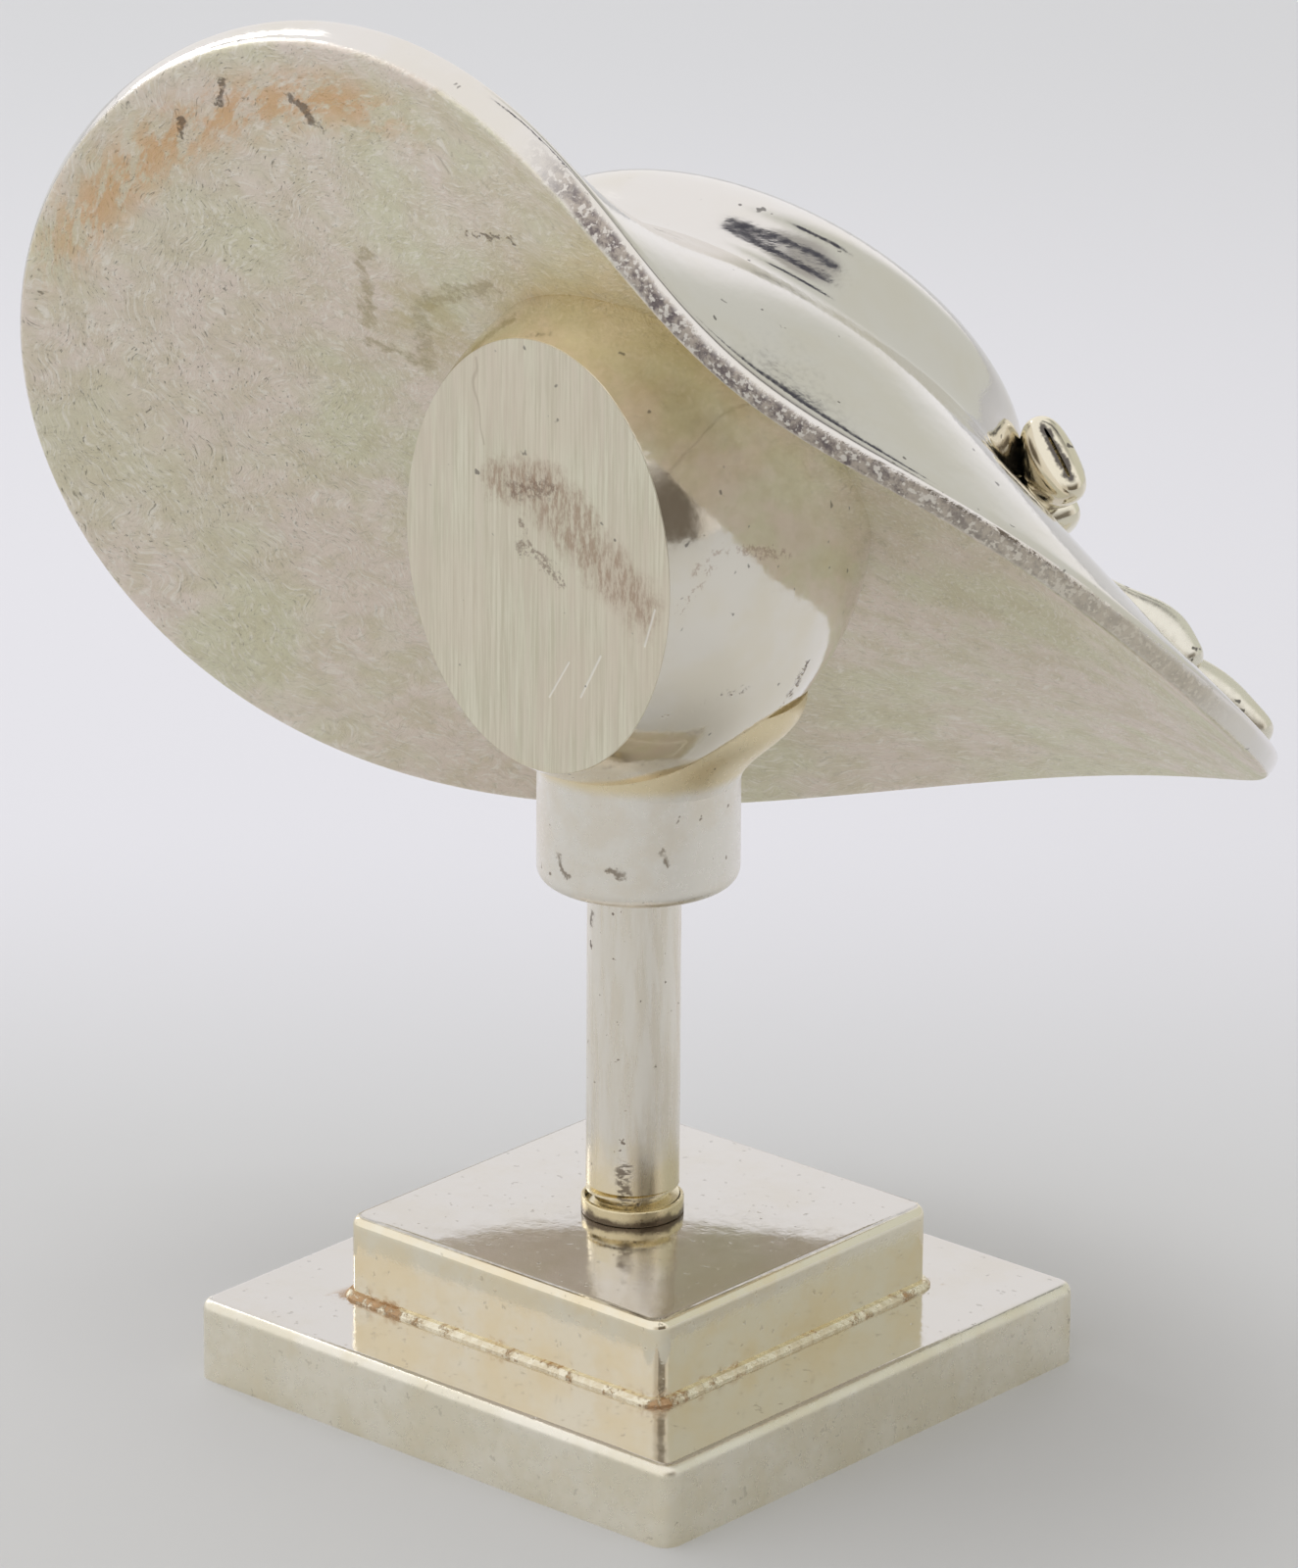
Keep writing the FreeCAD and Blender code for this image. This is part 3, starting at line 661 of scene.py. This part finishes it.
def base_material(name, half, top_z, plate):
    """Soldered base blocks: satin sides, brighter top, brown residue low on the sides, worn edges."""
    mat, n, shader = new_material(name)
    at = n.place()
    x, y, z = n.split(at)
    far_x, far_y = n.math("ABSOLUTE", x), n.math("ABSOLUTE", y)
    top = n.ramp(z, top_z - 0.12, top_z - 0.02)
    cloud = n.noise(at, 0.16, 4.0, 0.65)
    if plate:
        side = n.mix(n.ramp(cloud, 0.40, 0.62), (0.92, 0.88, 0.76), (0.86, 0.81, 0.66))
        side_rough = 0.30
    else:
        side = n.mix(n.ramp(cloud, 0.38, 0.64), (0.92, 0.87, 0.72), (0.92, 0.82, 0.60))
        side_rough = 0.09
    lid = n.mix(n.times(n.ramp(cloud, 0.42, 0.66), 0.4), (0.73, 0.70, 0.66), (0.70, 0.65, 0.56))
    colour = n.mix(top, side, lid)
    # residue creeps out of the solder line, most at the left and front corners
    creep = n.noise(at, 0.55, 5.0, 0.75)
    left_corner = n.times(n.ramp(x, -4.5, -13.0), n.ramp(y, -9.0, -13.0))
    front_corner = n.times(n.ramp(x, 10.2, 13.0), n.ramp(y, -10.2, -13.0))
    where = n.either(left_corner, front_corner)
    low = n.ramp(n.math("ABSOLUTE", n.less(z, PLATE_TOP)), 1.5, 0.1)
    close = n.ramp(n.math("ABSOLUTE", n.less(n.either(far_x, far_y), BLOCK_HALF)), 1.2, 0.2)
    stain = n.times(n.ramp(n.add(creep, n.times(where, 0.16)), 0.56, 0.70), low, close)
    colour = n.mix(n.times(stain, 0.72), colour, (0.50, 0.29, 0.12))
    tint = n.times(n.patches(at, 0.34, 3.0, 0.55, 0.50, 0.70), n.less(1.0, top), 0.12 if plate else 0.30)
    colour = n.mix(tint, colour, (0.86, 0.72, 0.46))
    # dark nicks gather along the edges
    rim = n.ramp(n.add(n.less(half, far_x), n.less(half, far_y)), 1.5, 0.0)
    nick = n.times(specks(n, at, 1.5, 0.07, 3.0), n.add(n.times(rim, 0.7), 0.22))
    colour = n.mix(n.times(nick, 0.85), colour, (0.10, 0.08, 0.06))
    fine = n.noise(at, 1.5, 4.0, 0.65)
    rough = n.blend(top, n.ramp(fine, 0.3, 0.7, side_rough * 0.8, side_rough * 1.4),
                    n.ramp(fine, 0.3, 0.75, 0.07, 0.15))
    rough = n.add(rough, n.times(stain, 0.3), n.times(nick, 0.2))
    # polishing has left the block's top slightly domed
    dome = n.times(n.add(n.times(x, x), n.times(y, y)), top, 0.0 if plate else -0.058)
    height = n.add(dome, n.weighed((n.noise(at, 0.20, 2.0), 0.8), (n.noise(at, 0.9, 3.0), 0.15),
                                   (fine, 0.10), (nick, -0.7), (stain, 0.5)))
    finish(n, shader, colour, rough, height, 0.06)
    return mat


def bead_material():
    mat, n, shader = new_material("solder_bead")
    at = n.place()
    x, y, _ = n.split(at)
    lumps = n.noise(at, 1.1, 4.0, 0.7)
    colour = n.mix(n.ramp(lumps, 0.40, 0.62), (0.92, 0.86, 0.68), (0.80, 0.71, 0.52))
    corner = n.either(n.times(n.ramp(x, -3.0, -12.5), n.ramp(y, -11.0, -13.0)),
                      n.times(n.ramp(x, 10.8, 13.4), n.ramp(y, -10.8, -13.4)))
    stain = n.ramp(n.add(n.noise(at, 0.7, 5.0, 0.75), n.times(corner, 0.17)), 0.56, 0.68)
    colour = n.mix(n.times(stain, 0.8), colour, (0.46, 0.25, 0.10))
    rough = n.add(n.ramp(lumps, 0.3, 0.7, 0.22, 0.38), n.times(stain, 0.2))
    finish(n, shader, colour, rough, n.add(lumps, n.times(stain, 0.4)), 0.22)
    return mat


def loop_material(name, seed, reflection_from, reflection_to):
    """Polished plate gone yellowish, with a painted dark reflection, black, down the fold."""
    mat = polished(name, (0.90, 0.86, 0.70), 0.7, 0.13, 0.06, seed, 0.04)
    n = Nodes(mat.node_tree)
    shader = mat.node_tree.nodes["Principled BSDF"]
    clean = shader.inputs["Base Color"].links[0].from_socket
    at = n.place()
    wander = n.shaken(at, (1.5, 1.8, 0), 1.0, rough=0.55)
    # painted dark reflection: a black streak down the fold
    dark_reflection = n.stroke(wander, [reflection_from, reflection_to], 0.22, 0.5)
    n.plug(shader.inputs["Base Color"], n.mix(n.times(dark_reflection, 0.9), clean, DARK))
    return mat


def dress(name, mat):
    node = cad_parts[name]
    node.data.materials.clear()
    node.data.materials.append(mat)


def dress_all(hat):
    hat.data.materials.append(hat_material())
    dress("hat", polished("hat_core"))
    dress("head", head_material())
    dress("neck", neck_material())
    dress("stem", stem_material())
    dress("foot_ring", foot_ring_material())
    dress("stem_solder_ring", polished("stem_solder", (0.88, 0.78, 0.52), 0.6, 0.16, 0.06, 5.0))
    dress("base_plate", base_material("plate_silver", PLATE_HALF, PLATE_TOP, True))
    dress("base_block", base_material("block_silver", BLOCK_HALF, BLOCK_TOP, False))
    dress("base_solder_bead", bead_material())
    dress("bow_knot", polished("knot_silver", (0.88, 0.84, 0.70), 0.6, 0.16, 0.05, 13.0, 0.04))
    for name, seed, sense in (("bow_loop_front", 17.0, -1), ("bow_loop_back", 19.0, 1)):
        ends = [tuple(bow_place(sense * 7.0, share * 1.8)) for share in (-1, 1)]
        dress(name, loop_material(name + "_silver", seed, *ends))
    for name, seed in (("bow_tail_long", 23.0), ("bow_tail_short", 29.0)):
        dress(name, polished(name + "_silver", (0.86, 0.83, 0.72), 0.5, 0.22, 0.05, seed, 0.05))


# --- stage ------------------------------------------------------------------

def add_light(name, place, target, size, power):
    data = bpy.data.lights.new(name, "AREA")
    data.shape = "RECTANGLE"
    data.size, data.size_y = size
    data.energy = power
    lamp = link(bpy.data.objects.new(name, data))
    lamp.location = place
    lamp.rotation_euler = (Vector(target) - Vector(place)).to_track_quat("-Z", "Y").to_euler()
    return lamp


FLOOR_HALF = 3.0                        # metres
FLOOR_BACK = (-0.6590, 0.7522, 0.0)     # across the floor, away from the photographer
FLOOR_RIGHT = (0.7522, 0.6590, 0.0)
WORLD_STRENGTH = 0.97


def add_floor():
    corners = [(x * FLOOR_HALF, y * FLOOR_HALF, 0) for x, y in ((-1, -1), (1, -1), (1, 1), (-1, 1))]
    floor = mesh_object("studio_floor", corners, [(0, 1, 2, 3)], smooth=False)
    mat = bpy.data.materials.new("studio_floor")
    mat.use_nodes = True
    n = Nodes(mat.node_tree)
    shader = mat.node_tree.nodes["Principled BSDF"]
    at = n.place()
    depth = n.vector("DOT_PRODUCT", at, FLOOR_BACK)
    right = n.vector("DOT_PRODUCT", at, FLOOR_RIGHT)
    # painted light falloff: the floor is darker near the front, lightest and bluish a little behind the
    # object, greyer far back, and painted shade darkens it to the right
    colour = n.mix(n.ramp(depth, -40, 25), (0.625, 0.628, 0.622), (0.660, 0.664, 0.668))
    colour = n.mix(n.ramp(depth, 25, 105), colour, (0.790, 0.788, 0.830))
    colour = n.mix(n.ramp(depth, 150, 360), colour, (0.672, 0.678, 0.692))
    colour = n.mix(n.times(n.ramp(right, -10, 70), 0.15), colour, (0.60, 0.60, 0.60))
    n.plug(shader.inputs["Base Color"], colour)
    n.plug(shader.inputs["Roughness"], 0.6)
    n.plug(shader.inputs["Specular IOR Level"], 0.1)
    floor.data.materials.append(mat)


def toward(turn, rise):
    """Direction `turn` degrees from +Y towards -X and `rise` degrees above the floor."""
    turn, rise = math.radians(turn), math.radians(rise)
    return (-math.sin(turn) * math.cos(rise), math.cos(turn) * math.cos(rise), math.sin(rise))


def add_world():
    """Bright studio as the silver mirrors it: a greyer side, a brown shade, a doorway and a lamp stand."""
    world = bpy.data.worlds.new("studio")
    world.use_nodes = True
    n = Nodes(world.node_tree)
    direction = n.node("ShaderNodeTexCoord").outputs["Generated"]
    x, y, z = n.split(direction)
    turn = n.times(n.math("ARCTAN2", n.times(x, -1.0), y), 180 / math.pi)      # 0 is +Y, 90 is -X
    rise = n.times(n.math("ARCSINE", z), 180 / math.pi)
    grey_side = n.times(n.window(turn, -62, 17, 8), n.ramp(rise, 66, 50))
    room = n.times(n.window(turn, -62, -12, 8), n.window(rise, 52, 70, 5))
    shade = n.times(n.window(turn, -150, -72, 14), n.ramp(rise, 36, 20), 0.55)
    doorway = n.times(n.window(turn, -125, -83, 3), n.ramp(rise, 40, 16), 0.9)
    stand = n.either(n.stroke(direction, [toward(10, 79), toward(-24, 73), toward(-41, 54)], 0.035, 0.060),
                     n.stroke(direction, [toward(4, 47), toward(-1, 41)], 0.045, 0.075))
    colour = (0.95, 0.94, 0.95)
    for share, tint in ((grey_side, (0.64, 0.645, 0.60)), (room, (0.44, 0.43, 0.41)),
                        (shade, (0.34, 0.27, 0.18)), (doorway, (0.10, 0.08, 0.06)),
                        (stand, (0.07, 0.07, 0.09))):
        colour = n.mix(share, colour, tint)
    back = world.node_tree.nodes["Background"]
    n.plug(back.inputs["Color"], colour)
    back.inputs["Strength"].default_value = WORLD_STRENGTH
    bpy.context.scene.world = world


def add_stage():
    add_floor()
    add_world()
    softbox = add_light("softbox_top", place=(-0.15, 0.10, 1.1), target=(0, 0, 0.03), size=(0.5, 0.5),
                        power=1.6)
    softbox.visible_glossy = False      # the world already holds what the silver mirrors
    add_light("strip_left", place=(-0.9, 0.15, 0.55), target=(0, 0, 0.05), size=(0.10, 0.7),
              power=1.0)


add_camera()
add_stage()
hat = add_hat()
dress_all(hat)

bpy.context.scene.view_settings.view_transform = "Standard"
